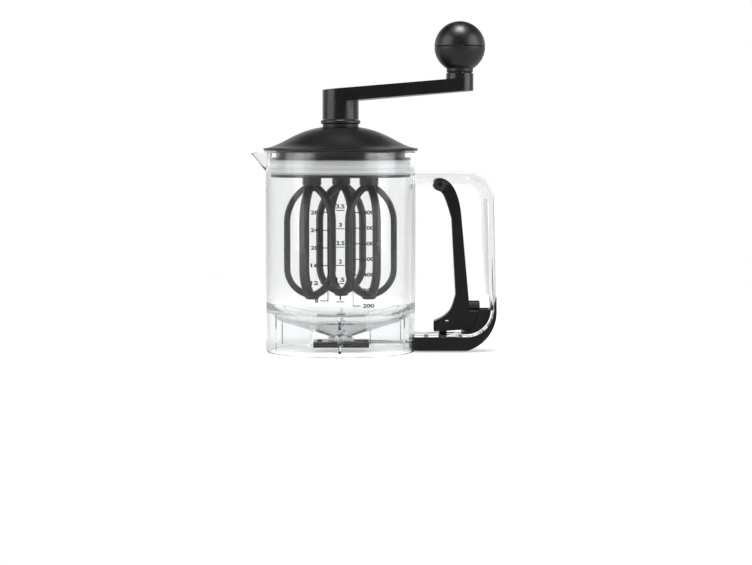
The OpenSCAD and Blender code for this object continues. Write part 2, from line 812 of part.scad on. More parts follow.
module gate_tray() {
    rail_top_z = gate_top_z;
    color(black)
    difference() {
        union() {
            translate([tray_x0, -tray_w / 2, tray_low_z])
                cube([tray_x1 - tray_x0, tray_w, rail_top_z - tray_low_z]);
            for (side = [-1, 1]) {
                translate([0, side * tray_screw_y, ear_top_z - ear_t]) cylinder(h = ear_t, r = ear_r);
                translate([-ear_r, side * (tray_w / 2 + 0.7) - 1.7, ear_top_z - ear_t])
                    cube([2 * ear_r, 3.4, ear_t]);
            }
        }
        // Run of the gate, closed at the far end and open towards the handle
        translate([tray_x0 + tray_rail, -gate_w / 2 - free_gap, tray_top_z])
            cube([tray_x1 - tray_x0, gate_w + 2 * free_gap, gate_t + boss_depth]);
        translate([0, 0, tray_low_z - cut]) cylinder(h = tray_floor + 2, r = outlet_r + 1.4);
        for (side = [-1, 1])
            translate([0, side * tray_screw_y, tray_low_z]) cylinder(h = 8, r = tray_screw_r);
    }
}

module tray_screws() {
    color(steel)
    for (side = [-1, 1])
        translate([0, side * tray_screw_y, 0]) screw(tray_screw_r, ear_t + 3.5, 2.2, 1.2, ear_top_z - ear_t);
}

module valve_gate() {
    nose_r = gate_w / 2;
    color(soft_black)
    difference() {
        union() {
            translate([gate_back_x, -gate_w / 2, gate_low_z])
                cube([gate_front_x - 3 - gate_back_x, gate_w, gate_t]);
            translate([tongue_x, -tongue_w / 2, gate_low_z])
                cube([gate_front_x - tongue_x, tongue_w, tongue_top_z - gate_low_z]);
        }
        translate([gate_hole_x, 0, gate_low_z - cut]) cylinder(h = gate_t + 2, r = gate_hole_d / 2);
        along_cylinder(gate_front_x - 8, rod_z, rod_d / 2, 10);
        // Rounded leading corners
        for (side = [-1, 1])
            translate([gate_back_x, side * nose_r, gate_low_z - cut])
                rotate([0, 0, 45]) cube([4, 4, 2 * (gate_t + 2)], center = true);
    }
}

module pull_rod() {
    color(steel)
    along_cylinder(gate_front_x - 8, rod_z, rod_d / 2, link_x + post_len / 2 - 1 - gate_front_x + 8);
}

// The slide's post stands up between the trigger's fork, and its strip keeps
// crumbs out of the slot in the handle
module slide_post() {
    pin_slot_r = link_pin_d / 2 + running_fit;
    lift = slide_travel * trigger_swing * PI / 360 + post_len / 2 * trigger_swing * PI / 180;
    color(black)
    difference() {
        union() {
            translate([link_x - post_len / 2, -post_w / 2, post_low_z])
                cube([post_len, post_w, post_top_z - post_low_z]);
            translate([strip_x0, -strip_w / 2, strip_top_z - strip_t])
                cube([strip_x1 - strip_x0, strip_w, strip_t]);
        }
        cross_cylinder(link_x, link_z, pin_slot_r, handle_w);
        cross_cylinder(link_x, link_z + lift + 0.2, pin_slot_r, handle_w);
        translate([link_x - pin_slot_r, -handle_w / 2, link_z])
            cube([2 * pin_slot_r, handle_w, lift + 0.2]);
        along_cylinder(link_x - post_len, rod_z, rod_d / 2, 1.5 * post_len - 1);
    }
}

// ---------- lid ----------

// Everything below the dome's outer surface
module dome_solid() {
    rotate_extrude()
        polygon(concat(
            [[0, lid_z], [lid_d / 2 - 0.8, lid_z], [lid_d / 2, lid_z + 1]],
            curve([lid_d / 2, rim_top_z - 0.2], [lid_d / 2 - 11.8, rim_top_z],
                [35, rim_top_z + 0.81 * dome_h], [dome_flat_r, dome_top_z], 14),
            [[0, dome_top_z]]
        ));
}

module lid_dome() {
    boss_wall = 2.4;
    color(black)
    difference() {
        union() {
            difference() {
                dome_solid();
                rotate_extrude()
                    polygon(concat(
                        [[0, lid_z - cut], [plug_ri, lid_z - cut]],
                        curve([plug_ri, lid_z], [plug_ri - 4, rim_top_z + 0.5 - dome_t],
                            [34, rim_top_z + 0.79 * dome_h - dome_t], [dome_flat_r, dome_top_z - dome_t], 10),
                        [[0, dome_top_z - dome_t]]
                    ));
            }
            intersection() {
                union() {
                    for (a = whisk_angles)
                        rotate([0, 0, a + 60])
                            translate([lid_screw_orbit, 0, base_top_z])
                                cylinder(h = dome_top_z - base_top_z, r = lid_post_r);
                    translate([0, 0, bush_low_z + 1])
                        cylinder(h = dome_top_z - bush_low_z - 1, r = bush_r + boss_wall);
                }
                union() {
                    dome_solid();
                    translate([0, 0, base_top_z]) cylinder(h = lid_z - base_top_z + cut, r = plug_ri);
                }
            }
        }
        translate([0, 0, base_z]) cylinder(h = dome_top_z, r = bush_r);
        for (a = whisk_angles)
            rotate([0, 0, a + 60])
                translate([lid_screw_orbit, 0, base_z])
                    cylinder(h = base_t + lid_screw_grip + cut, r = lid_screw_r);
    }
}

module lid_plug() {
    color(black)
    rotate_extrude()
        polygon([
            [plug_ri, base_top_z], [plug_r, base_top_z], [plug_r, gasket_top_z],
            [flange_r, gasket_top_z], [flange_r + 0.4, gasket_top_z + 0.5],
            [flange_r + 0.4, gasket_top_z + gasket_flange_t - 0.5],
            [flange_r, gasket_top_z + gasket_flange_t], [plug_r, gasket_top_z + gasket_flange_t],
            [plug_r, lid_z], [plug_ri, lid_z]
        ]);
}

module lid_gasket() {
    rib_h = 2;
    body_r = plug_r + gasket_t;
    pitch = gasket_h / gasket_ribs;
    color(silicone)
    rotate_extrude()
        polygon(concat(
            [[plug_r, base_top_z], [body_r, base_top_z]],
            [
                for (i = [0:gasket_ribs - 1], p = [[0, -1], [1, -0.35], [1, 0.35], [0, 1]])
                    [
                        body_r + p[0] * (gasket_rib_r - body_r),
                        base_top_z + pitch * (i + 0.5) + p[1] * rib_h / 2
                    ]
            ],
            [[body_r, gasket_top_z], [plug_r, gasket_top_z]]
        ));
}

module lid_base() {
    spigot_h = 2.5;
    spigot_t = 1.8;
    through = 2 * (base_t + bearing_h);
    color(black)
    difference() {
        union() {
            rotate_extrude()
                polygon([
                    [0, base_z], [flange_r - 0.4, base_z], [flange_r, base_z + 0.4],
                    [flange_r, base_top_z], [0, base_top_z]
                ]);
            ring(plug_ri - slide_gap - spigot_t, plug_ri - slide_gap,
                base_top_z - 0.5, base_top_z + spigot_h);
            translate([0, 0, base_z]) cylinder(h = base_t + bearing_h, r = shaft_d / 2 + 3);
            for (a = whisk_angles)
                rotate([0, 0, a])
                    translate([whisk_orbit, 0, base_z]) cylinder(h = base_t + bearing_h, r = journal_r + 2.4);
        }
        translate([0, 0, shaft_low_z - slide_gap]) cylinder(h = through, r = shaft_d / 2 + running_fit);
        for (a = whisk_angles) {
            rotate([0, 0, a])
                translate([whisk_orbit, 0, base_z - cut]) cylinder(h = through, r = journal_r + running_fit);
            rotate([0, 0, a + 60])
                translate([lid_screw_orbit, 0, base_z - cut]) {
                    cylinder(h = through, r = lid_screw_r);
                    cylinder(h = lid_head_h + cut, r = lid_head_r + 0.2);
                }
        }
    }
}

module lid_screws() {
    color(steel)
    for (a = whisk_angles)
        rotate([0, 0, a + 60])
            translate([lid_screw_orbit, 0, 0])
                screw(lid_screw_r, base_t - lid_head_h + lid_screw_grip, lid_head_r, lid_head_h,
                    base_z + lid_head_h);
}

// Bush that the crank's shaft turns in, with the collar that shows under the hub
module crank_collar() {
    shaft_bore = shaft_d / 2 + running_fit;
    color(black)
    rotate_extrude()
        polygon([
            [shaft_bore, bush_low_z], [bush_r, bush_low_z], [bush_r, dome_top_z],
            [collar_neck_r, dome_top_z], [collar_neck_r, collar_low_z],
            [collar_r - 0.5, collar_low_z], [collar_r, collar_low_z + 0.5],
            [collar_r, collar_top_z - 0.6], [collar_r - 0.6, collar_top_z], [shaft_bore, collar_top_z]
        ]);
}

// ---------- crank ----------

module crank_frame() {
    rotate([0, 0, crank_rest]) children();
}

// Plan of the arm: two circles and the flat sides that touch both
module arm_plan() {
    r1 = hub_d / 2;
    r2 = knob_boss_d / 2;
    a = acos((r1 - r2) / crank_len);
    circle(r = r1);
    translate([crank_len, 0]) circle(r = r2);
    polygon([
        [r1 * cos(a), r1 * sin(a)], [r1 * cos(a), -r1 * sin(a)],
        [crank_len + r2 * cos(a), -r2 * sin(a)], [crank_len + r2 * cos(a), r2 * sin(a)]
    ]);
}

module crank_arm() {
    x0 = -hub_d;
    x1 = crank_len + knob_boss_d;
    socket_r = shaft_d / 2 + 2.4;
    hub_skin = 2.2;
    cup_h = hub_h - arm_t - 3.5;
    color(black)
    crank_frame()
        difference() {
            union() {
                intersection() {
                    translate([0, 0, hub_z]) linear_extrude(height = hub_h + crank_len) arm_plan();
                    across(2 * hub_d)
                        polygon([
                            [x0, arm_top_z - arm_t + x0 * rise], [x1, arm_top_z - arm_t + x1 * rise],
                            [x1, arm_top_z + x1 * rise], [x0, arm_top_z + x0 * rise]
                        ]);
                }
                translate([0, 0, hub_z]) cylinder(h = hub_h - arm_t / 2, r = hub_d / 2);
                translate([crank_len, 0, knob_boss_z - knob_boss_h - arm_t / 2])
                    cylinder(h = knob_boss_h + arm_t / 2, r = knob_boss_d / 2);
            }
            // Hollow hub round the socket of the shaft
            ring(socket_r, hub_d / 2 - hub_skin, hub_z - cut, hub_z + cup_h);
            translate([0, 0, hub_z - cut]) cylinder(h = shaft_top_z - hub_z + cut, r = shaft_d / 2);
            translate([crank_len, 0, knob_boss_z - axle_grip])
                cylinder(h = axle_grip + cut, r = axle_r - 0.5);
        }
}

module crank_shaft() {
    color(steel) translate([0, 0, shaft_low_z]) cylinder(h = shaft_top_z - shaft_low_z, r = shaft_d / 2);
}

module thrust_washer() {
    color(steel) ring(shaft_d / 2, bush_r - 1, gear_z + gear_face, gear_z + gear_face + washer_t);
}

// Shoulder pin of the knob, pressed into the arm's boss
module knob_axle() {
    color(steel)
    crank_frame()
        translate([crank_len, 0, 0])
            rotate_extrude()
                polygon([
                    [0, knob_boss_z - axle_grip], [axle_r - 0.5, knob_boss_z - axle_grip],
                    [axle_r - 0.5, knob_boss_z], [axle_r, knob_boss_z], [axle_r, axle_head_z],
                    [axle_head_r, axle_head_z], [axle_head_r, axle_head_z + axle_head_h],
                    [0, axle_head_z + axle_head_h]
                ]);
}

// Lower half of the knob: neck, shell and the tube that turns on the axle
module knob_lower() {
    neck_r = knob_neck_d / 2;
    seam = 0.15;
    bore_r = axle_r + running_fit;
    tube_r = axle_r + 2.4;
    join = asin(neck_r / knob_r);
    in_join = asin(tube_r / knob_ri);
    color(black)
    crank_frame()
        translate([crank_len, 0, 0])
            rotate_extrude()
                polygon(concat(
                    [
                        [bore_r, knob_z], [neck_r - 0.6, knob_z], [neck_r, knob_z + 0.6],
                        [neck_r, knob_cz - knob_r * cos(join)]
                    ],
                    arc_points(0, knob_cz, knob_r, join - 90, -1.2, 16),
                    [[knob_r - 0.6, knob_cz - seam], [knob_ri, knob_cz - seam]],
                    reverse(arc_points(0, knob_cz, knob_ri, in_join - 90, -1.2, 12)),
                    [[tube_r, axle_head_z - free_gap], [bore_r, axle_head_z - free_gap]]
                ));
}

// Upper half of the knob, with a spigot that fits inside the lower half
module knob_upper() {
    seam = 0.15;
    spigot_r = sqrt(pow(knob_ri, 2) - 16) - 0.1;
    color(black)
    crank_frame()
        translate([crank_len, 0, 0])
            rotate_extrude()
                polygon(concat(
                    [[spigot_r - 1.6, knob_cz - 4], [spigot_r, knob_cz - 4], [spigot_r, knob_cz - seam],
                        [knob_r - 0.6, knob_cz - seam]],
                    arc_points(0, knob_cz, knob_r, 1.2, 90, 18),
                    reverse(arc_points(0, knob_cz, knob_ri - 1.4, 3, 90, 12))
                ));
}

// ---------- gears ----------

// Outline of a spur gear with involute flanks, one tooth centred on angle 0
function involute_angle(r, base_r) =
    let (roll = sqrt(max(0, pow(r / base_r, 2) - 1))) roll * 180 / PI - atan(roll);

function gear_outline(teeth) =
    let (
        pitch_r = gear_module * teeth / 2,
        base_r = pitch_r * cos(pressure_angle),
        tip_r = pitch_r + gear_module,
        root_r = pitch_r - 1.25 * gear_module,
        start_r = max(base_r, root_r + 0.1),
        half = 90 / teeth - backlash / 4 / pitch_r * 180 / PI,
        at_pitch = involute_angle(pitch_r, base_r)
    )
    [
        for (i = [0:teeth - 1])
            let (centre = 360 * i / teeth)
                each concat(
                    [[root_r * cos(centre - half * 1.25), root_r * sin(centre - half * 1.25)]],
                    [
                        for (s = [0:flank_steps])
                            let (
                                r = start_r + (tip_r - start_r) * s / flank_steps,
                                a = centre - half - at_pitch + involute_angle(r, base_r)
                            )
                                [r * cos(a), r * sin(a)]
                    ],
                    [
                        for (s = [flank_steps:-1:0])
                            let (
                                r = start_r + (tip_r - start_r) * s / flank_steps,
                                a = centre + half + at_pitch - involute_angle(r, base_r)
                            )
                                [r * cos(a), r * sin(a)]
                    ],
                    [[root_r * cos(centre + half * 1.25), root_r * sin(centre + half * 1.25)]]
                )
    ];

module sun_gear() {
    hole_count = 6;
    hole_orbit = (shaft_d / 2 + sun_pitch_r) / 2;
    color(white_nylon)
    translate([0, 0, gear_z])
        difference() {
            linear_extrude(height = gear_face) polygon(gear_outline(sun_teeth));
            translate([0, 0, -cut]) cylinder(h = gear_face + 2, r = shaft_d / 2);
            for (i = [0:hole_count - 1])
                rotate([0, 0, 360 * i / hole_count])
                    translate([hole_orbit, 0, -cut]) cylinder(h = gear_face + 2, r = 2.6, $fn = 48);
        }
}

module planet_gear(i) {
    color(white_nylon)
    rotate([0, 0, whisk_angles[i]])
        translate([whisk_orbit, 0, gear_z])
            rotate([0, 0, planet_phase - whisk_angles[i]])
                difference() {
                    linear_extrude(height = gear_face) polygon(gear_outline(planet_teeth));
                    translate([0, 0, -cut]) cylinder(h = gear_face + 2, r = drive_r);
                }
}

module planet_gear_1() { planet_gear(0); }
module planet_gear_2() { planet_gear(1); }
module planet_gear_3() { planet_gear(2); }

// ---------- whisks ----------

// Section of a tine with its outer face at x = r
module tine_section(r) {
    h = tine_w / 2;
    c = tine_chamfer;
    polygon([
        [r - tine_t + c, -h], [r - c, -h], [r, -h + c], [r, h - c],
        [r - c, h], [r - tine_t + c, h], [r - tine_t, h - c], [r - tine_t, -h + c]
    ]);
}

module tine() {
    top_cx = whisk_r - tine_top_r;
    low_cx_tine = whisk_r - tine_low_r;
    top_sweep = acos((4 - top_cx) / (tine_top_r - tine_t / 2));
    low_sweep = acos((3 - low_cx_tine) / (tine_low_r - tine_t / 2));
    translate([top_cx, 0, tine_top_z])
        rotate([90, 0, 0]) rotate_extrude(angle = top_sweep) tine_section(tine_top_r);
    translate([0, 0, tine_low_z]) linear_extrude(height = tine_straight) tine_section(whisk_r);
    translate([low_cx_tine, 0, tine_low_z])
        rotate([90, 0, 0])
            mirror([0, 1, 0]) rotate_extrude(angle = low_sweep) tine_section(tine_low_r);
}

module whisk(i) {
    lower_hub_r = whisk_hub_d / 2 - 1.7;
    tip_z = tine_low_z - tine_low_r;
    color(soft_black)
    rotate([0, 0, whisk_angles[i]])
        translate([whisk_orbit, 0, 0])
            rotate([0, 0, whisk_phases[i] - whisk_angles[i]])
                union() {
                    for (k = [1:whisk_tines[i]]) rotate([0, 0, 360 * k / whisk_tines[i]]) tine();
                    rotate_extrude()
                        polygon([
                            [0, whisk_top_z - whisk_hub_h], [lower_hub_r, whisk_top_z - whisk_hub_h],
                            [lower_hub_r, whisk_top_z - 5.6], [whisk_hub_d / 2, whisk_top_z - 5.2],
                            [whisk_hub_d / 2, whisk_top_z], [journal_r, whisk_top_z],
                            [journal_r, gear_z - 0.1], [drive_r, gear_z - 0.1],
                            [drive_r, gear_z + gear_face], [0, gear_z + gear_face]
                        ]);
                    rotate_extrude()
                        polygon([
                            [0, tip_z - 0.6], [4.2, tip_z - 0.6], [5.4, tip_z + 0.6],
                            [5.4, tip_z + 4.6], [0, tip_z + 5.4]
                        ]);
                }
}

module whisk_1() { whisk(0); }
module whisk_2() { whisk(1); }
module whisk_3() { whisk(2); }

jug();
jug_bowl();
handle();
foot_cover();
foot_screws();
spring_housing();
outlet_seal();
gate_tray();
tray_screws();
valve_gate();
pull_rod();
slide_post();
trigger();
pivot_pin();
link_pin();
stop_bumper();
return_spring();
lid_dome();
lid_plug();
lid_gasket();
lid_base();
lid_screws();
crank_collar();
crank_shaft();
sun_gear();
thrust_washer();
crank_arm();
knob_axle();
knob_lower();
knob_upper();
planet_gear_1();
planet_gear_2();
planet_gear_3();
whisk_1();
whisk_2();
whisk_3();
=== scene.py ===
"""Looks of the hand-cranked batter dispenser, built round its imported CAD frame.

Lengths are in metres, or in millimetres times MM. The front faces -Y."""
import json
import math

import bmesh
import bpy
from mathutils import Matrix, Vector

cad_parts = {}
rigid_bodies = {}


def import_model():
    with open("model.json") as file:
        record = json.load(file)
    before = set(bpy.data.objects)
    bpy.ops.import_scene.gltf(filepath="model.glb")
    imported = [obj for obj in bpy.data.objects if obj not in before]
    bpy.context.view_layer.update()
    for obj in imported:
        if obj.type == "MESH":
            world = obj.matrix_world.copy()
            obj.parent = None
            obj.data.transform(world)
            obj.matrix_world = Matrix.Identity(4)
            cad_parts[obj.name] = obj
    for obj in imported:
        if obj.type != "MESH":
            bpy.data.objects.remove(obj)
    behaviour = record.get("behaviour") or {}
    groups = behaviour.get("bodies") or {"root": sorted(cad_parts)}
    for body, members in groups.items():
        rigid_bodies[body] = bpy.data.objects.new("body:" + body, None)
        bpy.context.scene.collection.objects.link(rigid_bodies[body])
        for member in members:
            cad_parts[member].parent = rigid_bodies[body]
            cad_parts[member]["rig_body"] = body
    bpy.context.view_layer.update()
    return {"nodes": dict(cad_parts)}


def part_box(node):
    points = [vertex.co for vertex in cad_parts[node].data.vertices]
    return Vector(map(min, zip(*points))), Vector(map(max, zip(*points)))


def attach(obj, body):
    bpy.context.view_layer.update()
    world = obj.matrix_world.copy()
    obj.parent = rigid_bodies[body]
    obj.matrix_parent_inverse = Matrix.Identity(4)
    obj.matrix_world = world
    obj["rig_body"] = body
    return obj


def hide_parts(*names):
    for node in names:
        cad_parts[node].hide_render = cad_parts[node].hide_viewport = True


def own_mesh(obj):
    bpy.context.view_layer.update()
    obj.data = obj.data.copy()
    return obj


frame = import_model()
MM = 0.001

# ---------------------------------------------------------------- camera
CAMERA_PLACE = (0.0262, -1.5, 0.148)
CAMERA_TARGET = (0.0260, 0, 0.0508)
CLIP_END = 20
LENS_MM = 97.4
SENSOR_MM = 36
# Light turns many times inside the clear walls, and a low limit ends it there in black lines
BOUNCES = 64

camera_data = bpy.data.cameras.new("camera")
camera = bpy.data.objects.new("camera", camera_data)
bpy.context.scene.collection.objects.link(camera)
camera.location = CAMERA_PLACE
line_of_sight = Vector(CAMERA_TARGET) - camera.location
camera.rotation_euler = line_of_sight.to_track_quat("-Z", "Y").to_euler()
camera_data.lens = LENS_MM
camera_data.sensor_width = SENSOR_MM
camera_data.clip_end = CLIP_END
camera_data.dof.use_dof = False
bpy.context.scene.camera = camera
bpy.context.scene.view_settings.view_transform = "Standard"
cycles = bpy.context.scene.cycles
cycles.max_bounces = BOUNCES
cycles.glossy_bounces = BOUNCES
cycles.transmission_bounces = BOUNCES

# ---------------------------------------------------------------- node trees
NOISE_RANGE = (0.3, 0.7)  # most of a noise's values lie between these
NONE_OR_SOME = 0.5  # parts a count of none from a count of one or more


class Tree:
    """A node tree, with short calls for the nodes it needs."""

    def __init__(self, tree):
        self.tree = tree

    def add(self, kind, **settings):
        node = self.tree.nodes.new(kind)
        for key, value in settings.items():
            setattr(node, key, value)
        return node

    def link(self, output, target):
        self.tree.links.new(output, target)

    def math(self, operation, *values):
        """A math node on sockets and numbers."""
        node = self.add("ShaderNodeMath", operation=operation)
        for i, value in enumerate(values):
            if isinstance(value, (int, float)):
                node.inputs[i].default_value = value
            else:
                self.link(value, node.inputs[i])
        return node.outputs[0]

    def spread(self, value, source, target, **settings):
        """The value, carried from its place in the source range to the target range."""
        node = self.add("ShaderNodeMapRange", **settings)
        node.inputs["From Min"].default_value = source[0]
        node.inputs["From Max"].default_value = source[1]
        node.inputs["To Min"].default_value = target[0]
        node.inputs["To Max"].default_value = target[1]
        self.link(value, node.inputs["Value"])
        return node.outputs["Result"]

    def step(self, value, start, full):
        """Smoothly from 0 at start to 1 at full. Either may be the larger."""
        if start < full:
            source, target = (start, full), (0.0, 1.0)
        else:
            source, target = (full, start), (1.0, 0.0)
        return self.spread(value, source, target, interpolation_type="SMOOTHSTEP")

    def mix(self, factor, a, b):
        """a where the factor is 0, and b where it is 1."""
        share_a = self.math("MULTIPLY", self.math("SUBTRACT", 1.0, factor), a)
        return self.math("ADD", share_a, self.math("MULTIPLY", factor, b))

    def seen_straight(self):
        """1 for what is seen bare or through clear plastic, also where light has turned
        twice or more inside it. 0 after one reflection, and for light on a matt surface."""
        path = self.add("ShaderNodeLightPath").outputs
        direct = self.math("MAXIMUM", path["Is Camera Ray"], path["Is Transmission Ray"])
        matt = self.math("GREATER_THAN", path["Diffuse Depth"], NONE_OR_SOME)
        mirrored_once = self.math("COMPARE", path["Glossy Depth"], 1.0, NONE_OR_SOME)
        either = self.math("ADD", matt, mirrored_once)
        return self.math("MULTIPLY", direct, self.math("LESS_THAN", either, NONE_OR_SOME))


class Nodes(Tree):
    """A material's node tree, with its shader and its output."""

    def __init__(self, name):
        self.material = bpy.data.materials.new(name)
        self.material.use_nodes = True
        super().__init__(self.material.node_tree)
        self.bsdf = self.tree.nodes["Principled BSDF"]
        self.out = self.tree.nodes["Material Output"]

    def set(self, **values):
        """Sets the shader's sockets. A _ in a name stands for a space."""
        for key, value in values.items():
            self.bsdf.inputs[key.replace("_", " ")].default_value = value

    def coords(self):
        return self.add("ShaderNodeTexCoord").outputs["Object"]

    def noise(self, scale, detail, stretch=None):
        """A noise in the object's own space, finer along an axis with a larger stretch."""
        noise = self.add("ShaderNodeTexNoise")
        noise.inputs["Scale"].default_value = scale
        noise.inputs["Detail"].default_value = detail
        source = self.coords()
        if stretch:
            mapping = self.add("ShaderNodeMapping")
            mapping.inputs["Scale"].default_value = stretch
            self.link(source, mapping.inputs["Vector"])
            source = mapping.outputs["Vector"]
        self.link(source, noise.inputs["Vector"])
        return noise.outputs["Fac"]

    def tint(self, noise, low, high):
        """The base colour, from low to high with the noise."""
        ramp = self.add("ShaderNodeValToRGB")
        stops = ramp.color_ramp.elements
        for stop, position, colour in zip(stops, NOISE_RANGE, (low, high)):
            stop.position = position
            stop.color = (*colour, 1)
        self.link(noise, ramp.inputs["Fac"])
        self.link(ramp.outputs["Color"], self.bsdf.inputs["Base Color"])

    def roughness(self, noise, low, high):
        """The roughness, from low to high with the noise."""
        self.link(self.spread(noise, NOISE_RANGE, (low, high)), self.bsdf.inputs["Roughness"])

    def bump(self, height, strength, depth):
        bump = self.add("ShaderNodeBump")
        bump.inputs["Strength"].default_value = strength
        bump.inputs["Distance"].default_value = depth
        self.link(height, bump.inputs["Height"])
        self.link(bump.outputs["Normal"], self.bsdf.inputs["Normal"])


# ---------------------------------------------------------------- materials
CLEAR_COLOUR = (0.965, 0.972, 0.974)
CLEAR_LIGHTER = 0.006  # how much its flow ripples lighten the colour
CLEAR_IOR = 1.36
# The plastic absorbs, for each metre, its density times one less its colour
CLEAR_DENSITY = 15.0
CLEAR_DEPTH = (0.60, 0.62, 0.63, 1)
RIPPLE_STRETCH = (1, 1, 0.35)
BRUSH_STRETCH = (1, 1, 12)


def moulded_black(name, low, high, rough, grain, specular=0.5):
    """Black moulded plastic: a fine spark-eroded grain with slight patches of gloss."""
    n = Nodes(name)
    glossiest, dullest = rough - 0.035, rough + 0.045
    n.tint(n.noise(60, detail=4), low, high)
    n.roughness(n.noise(90, detail=5), glossiest, dullest)
    n.bump(n.noise(2600, detail=2), strength=grain, depth=0.04 * MM)
    n.set(IOR=1.5, Specular_IOR_Level=specular)
    return n.material


def clear_plastic(name):
    """Clear moulded plastic: a faint flow ripple and hardly any haze."""
    n = Nodes(name)
    lighter = tuple(c + CLEAR_LIGHTER for c in CLEAR_COLOUR)
    n.set(Transmission_Weight=1.0, IOR=CLEAR_IOR)
    n.tint(n.noise(9, detail=2), CLEAR_COLOUR, lighter)
    n.roughness(n.noise(40, detail=3), 0.012, 0.03)
    n.bump(n.noise(22, detail=2, stretch=RIPPLE_STRETCH), strength=0.06, depth=0.4 * MM)
    inside = n.add("ShaderNodeVolumeAbsorption")
    inside.inputs["Color"].default_value = CLEAR_DEPTH
    inside.inputs["Density"].default_value = CLEAR_DENSITY
    n.link(inside.outputs["Volume"], n.out.inputs["Volume"])
    return n.material


def silicone(name):
    """Pale silicone, which lets a little light in."""
    n = Nodes(name)
    n.tint(n.noise(40, detail=4), (0.86, 0.87, 0.87), (0.92, 0.93, 0.93))
    n.roughness(n.noise(150, detail=4), 0.38, 0.5)
    n.set(Transmission_Weight=0.15, IOR=1.41, Subsurface_Weight=0.25, Subsurface_Scale=3 * MM)
    n.bump(n.noise(900, detail=3), strength=0.15, depth=0.05 * MM)
    return n.material


def brushed_steel(name):
    """Steel with fine marks, which are closest together along Z."""
    n = Nodes(name)
    n.set(Metallic=1.0)
    n.tint(n.noise(260, detail=4, stretch=BRUSH_STRETCH), (0.50, 0.51, 0.52), (0.64, 0.65, 0.66))
    n.roughness(n.noise(400, detail=4, stretch=BRUSH_STRETCH), 0.2, 0.34)
    n.bump(n.noise(1200, detail=3, stretch=BRUSH_STRETCH), strength=0.12, depth=0.03 * MM)
    return n.material


def nylon(name):
    """Off-white nylon for the gears."""
    n = Nodes(name)
    n.tint(n.noise(60, detail=4), (0.72, 0.72, 0.68), (0.80, 0.80, 0.76))
    n.roughness(n.noise(200, detail=4), 0.4, 0.52)
    n.set(Subsurface_Weight=0.15, Subsurface_Scale=2 * MM)
    n.bump(n.noise(1500, detail=3), strength=0.12, depth=0.04 * MM)
    return n.material


def ink(name):
    """Black screen print, a little uneven."""
    n = Nodes(name)
    n.tint(n.noise(900, detail=3), (0.012, 0.012, 0.013), (0.03, 0.03, 0.032))
    n.roughness(n.noise(700, detail=3), 0.45, 0.6)
    n.bump(n.noise(3000, detail=2), strength=0.1, depth=0.02 * MM)
    return n.material


LID_BLACK = moulded_black("lid_black", (0.005, 0.005, 0.006), (0.009, 0.009, 0.010),
                          rough=0.31, grain=0.25, specular=0.45)
CRANK_BLACK = moulded_black("crank_black", (0.004, 0.004, 0.005), (0.007, 0.007, 0.008),
                            rough=0.25, grain=0.25, specular=0.45)
KNOB_BLACK = moulded_black("knob_black", (0.005, 0.005, 0.006), (0.008, 0.008, 0.009),
                           rough=0.36, grain=0.3, specular=0.42)
TRIGGER_BLACK = moulded_black("trigger_black", (0.003, 0.003, 0.004), (0.006, 0.006, 0.007),
                              rough=0.3, grain=0.2, specular=0.32)
WHISK_BLACK = moulded_black("whisk_black", (0.009, 0.009, 0.010), (0.014, 0.014, 0.015),
                            rough=0.38, grain=0.3)
RUBBER_BLACK = moulded_black("rubber_black", (0.016, 0.016, 0.016), (0.024, 0.024, 0.024),
                             rough=0.6, grain=0.4)
CLEAR = clear_plastic("clear_plastic")
SILICONE = silicone("silicone")
STEEL = brushed_steel("steel")
NYLON = nylon("white_nylon")
INK = ink("scale_ink")

# ---------------------------------------------------------------- objects and shading
SHARP_ANGLE = math.radians(38)  # an edge that turns by more stays sharp
SHARP_COS = math.cos(SHARP_ANGLE)
TURNED = 0.12  # largest part of a turned face's normal that points round the axis
FACE_ON_AXIS = 1e-6  # a face whose centre is this near to the axis has no outward direction
CORNER_ON_AXIS = 1e-5  # the same for a corner


def link_object(name, data):
    obj = bpy.data.objects.new(name, data)
    bpy.context.scene.collection.objects.link(obj)
    return obj


def apply_modifiers(obj):
    """Applies the object's modifiers to its mesh."""
    graph = bpy.context.evaluated_depsgraph_get()
    mesh = bpy.data.meshes.new_from_object(obj.evaluated_get(graph))
    obj.modifiers.clear()
    old, obj.data = obj.data, mesh
    bpy.data.meshes.remove(old)


def turned_profile(face, centre):
    """The parts of a face's normal along the radius and the axis, or None for a face that
    isn't turned about centre."""
    x, y = face.center.x - centre[0], face.center.y - centre[1]
    r = math.hypot(x, y)
    if r < FACE_ON_AXIS:
        return None
    ux, uy = x / r, y / r
    normal = face.normal
    along_radius = normal.x * ux + normal.y * uy
    round_axis = -normal.x * uy + normal.y * ux
    return (along_radius, normal.z) if abs(round_axis) < TURNED else None


def corner_normal(corner, profile, own, around, centre):
    """The normal at a face's corner: the mean, by area, of the faces around it within the
    sharp angle. For turned faces this is the mean of their profiles, turned to the
    corner's own direction, so that a turned surface shades as a true one."""
    x, y = corner.x - centre[0], corner.y - centre[1]
    r = math.hypot(x, y)
    if profile is None or r <= CORNER_ON_AXIS:
        total = Vector((0, 0, 0))
        for _, normal, area in around:
            if normal.dot(own) > SHARP_COS:
                total += normal * area
        return total.normalized()
    radial = axial = 0.0
    for other, _, area in around:
        if other is not None and other[0] * profile[0] + other[1] * profile[1] > SHARP_COS:
            radial += other[0] * area
            axial += other[1] * area
    return Vector((radial * x / r, radial * y / r, axial)).normalized()


